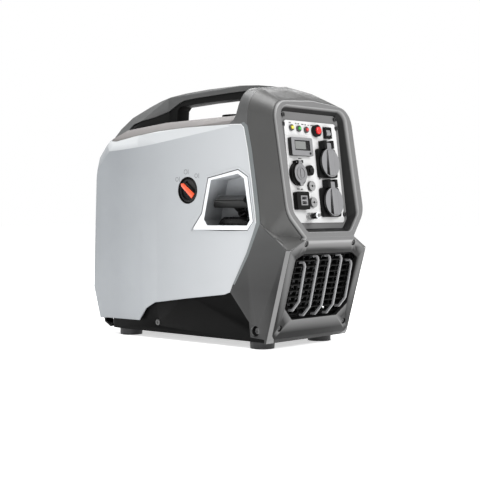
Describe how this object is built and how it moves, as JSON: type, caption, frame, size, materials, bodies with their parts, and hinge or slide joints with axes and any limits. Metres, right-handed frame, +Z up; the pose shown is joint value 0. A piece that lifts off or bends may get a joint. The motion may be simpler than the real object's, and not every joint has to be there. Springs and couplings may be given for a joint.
{
  "type": "portable generator",
  "caption": "Enclosed portable inverter generator with a carry handle, a leaning control panel with mains and DC sockets, a recoil starter and a rotary engine switch.",
  "frame": {"origin": "on the floor, under the middle of the overall box", "axes": "+X towards the control panel end, -Y towards the side with the recoil starter and engine switch, +Z up"},
  "size_m": [0.504, 0.222, 0.46],
  "materials": {
    "silver": "satin silver lacquer",
    "dark_shell": "fine-textured moulded plastic",
    "grey_shell": "fine-textured moulded plastic",
    "light_shell": "fine-textured moulded plastic",
    "black_shell": "textured black plastic",
    "black_gloss": "polished black plastic",
    "grip": "soft grip rubber",
    "rubber": "moulded rubber",
    "white_trim": "polished light plastic",
    "faceplate": "satin light grey paint",
    "lid_grey": "smooth grey plastic",
    "chrome": "polished",
    "steel": "zinc-plated",
    "aluminium": "die cast",
    "cast": "cast",
    "red": "polished red plastic",
    "orange": "polished orange plastic",
    "led": "moulded clear lens",
    "display": "display window",
    "rope": "braided cord",
    "winding": "enamelled copper winding",
    "tank": "blow-moulded plastic"
  },
  "bodies": {
    "casing": {"left_side_panel": "silver", "right_side_panel": "silver", "service_cover": "silver", "rear_cover": "silver", "front_frame": "grey_shell", "hood": "dark_shell", "front_panel": "light_shell", "top_cover": "grey_shell", "base_tray": "black_shell", "handle_shell": "grey_shell", "handle_grip": "grip", "rubber_feet": "rubber", "case_screws": "steel", "grille_fins": "light_shell", "louvre": "black_shell", "faceplate": "faceplate", "ac_sockets": "black_shell", "terminal_pins": "steel", "dc_socket": "black_shell", "led_holders": "chrome", "indicator_leds": "led", "switch_housings": "black_shell", "meter_housing": "lid_grey", "meter_display": "display", "usb_housing": "black_shell", "usb_ports": "lid_grey", "parallel_jacks": "black_shell", "switch_cup": "black_shell", "fuel_valve": "aluminium", "recoil_pocket": "grey_shell", "rope_guide": "black_gloss", "recoil_trim": "white_trim", "starter_housing": "black_shell", "crankcase": "aluminium", "stator": "winding", "cylinder": "aluminium", "valve_cover": "aluminium", "muffler": "steel", "carburettor": "aluminium", "air_filter": "black_shell", "inverter": "aluminium", "fuel_tank": "tank"},
    "engine_switch": {"switch_knob": "black_gloss", "switch_pointer": "orange"},
    "starter_handle": {"recoil_grip": "black_gloss", "grip_insert": "lid_grey", "starter_rope": "rope"},
    "starter_reel": {"recoil_reel": "black_shell"},
    "crank": {"crankshaft": "steel", "flywheel": "cast"},
    "cap_lift": {"cap_seal": "rubber"},
    "cap": {"fuel_cap": "black_shell"},
    "upper_lid": {"ac_lid_upper": "lid_grey"},
    "lower_lid": {"ac_lid_lower": "lid_grey"},
    "dc_cover": {"dc_lid": "lid_grey"},
    "eco_switch": {"eco_rocker": "black_gloss"},
    "reset": {"reset_button": "red"},
    "breaker": {"breaker_button": "black_gloss"},
    "meter_key": {"meter_button": "black_gloss"},
    "earth_nut": {"ground_nut": "steel"}
  },
  "joints": [
    {"name": "engine_switch_turn", "type": "hinge", "parent": "casing", "child": "engine_switch", "pos_m": [0.0168, -0.1, 0.2704], "axis": [0, 1, 0], "range_deg": [0, 90]},
    {"name": "starter_pull", "type": "slide", "parent": "casing", "child": "starter_handle", "axis": [0, -0.8192, 0.5736], "range_m": [0, 0.1], "stiffness_N_per_m": 60, "springref_m": -0.05},
    {"name": "reel_turn", "type": "hinge", "parent": "casing", "child": "starter_reel", "pos_m": [0.1115, 0, 0.14441], "axis": [1, 0, 0], "range_deg": [0, 181]},
    {"name": "crank_turn", "type": "hinge", "parent": "casing", "child": "crank", "pos_m": [0, 0, 0.14441], "axis": [1, 0, 0], "continuous": true},
    {"name": "cap_lift_off", "type": "slide", "parent": "casing", "child": "cap_lift", "axis": [0, 0, 1], "range_m": [0, 0.08]},
    {"name": "cap_turn", "type": "hinge", "parent": "cap_lift", "child": "cap", "pos_m": [-0.01, 0.056, 0.41], "axis": [0, 0, 1], "range_deg": [0, 90]},
    {"name": "upper_lid_hinge", "type": "hinge", "parent": "casing", "child": "upper_lid", "pos_m": [0.21967, 0.031, 0.34994], "axis": [0, -1, 0], "range_deg": [0, 110], "stiffness_Nm_per_rad": 0.01, "springref_deg": -45.84},
    {"name": "lower_lid_hinge", "type": "hinge", "parent": "casing", "child": "lower_lid", "pos_m": [0.22821, 0.031, 0.28234], "axis": [0, -1, 0], "range_deg": [0, 110], "stiffness_Nm_per_rad": 0.01, "springref_deg": -45.84},
    {"name": "dc_lid_hinge", "type": "hinge", "parent": "casing", "child": "dc_cover", "pos_m": [0.22296, -0.051, 0.31593], "axis": [0, -1, 0], "range_deg": [0, 110], "stiffness_Nm_per_rad": 0.003, "springref_deg": -45.84},
    {"name": "eco_rock", "type": "hinge", "parent": "casing", "child": "eco_switch", "pos_m": [0.20805, 0.043, 0.37007], "axis": [0, 1, 0], "range_deg": [0, 18]},
    {"name": "reset_push", "type": "slide", "parent": "casing", "child": "reset", "axis": [-0.9921, 0, -0.1253], "range_m": [0, 0.003], "stiffness_N_per_m": 400, "springref_m": -0.001},
    {"name": "breaker_trip", "type": "slide", "parent": "casing", "child": "breaker", "axis": [0.9921, 0, 0.1253], "range_m": [0, 0.003]},
    {"name": "meter_key_push", "type": "slide", "parent": "casing", "child": "meter_key", "axis": [-0.9921, 0, -0.1253], "range_m": [0, 0.0012], "stiffness_N_per_m": 400, "springref_m": -0.001},
    {"name": "earth_nut_turn", "type": "hinge", "parent": "casing", "child": "earth_nut", "pos_m": [0.23681, -0.029, 0.22538], "axis": [0.9921, 0, 0.1253], "continuous": true}
  ],
  "couplings": [
    {"joint": "reel_turn", "follows": "starter_pull", "rad_per_m": 31.25}
  ]
}
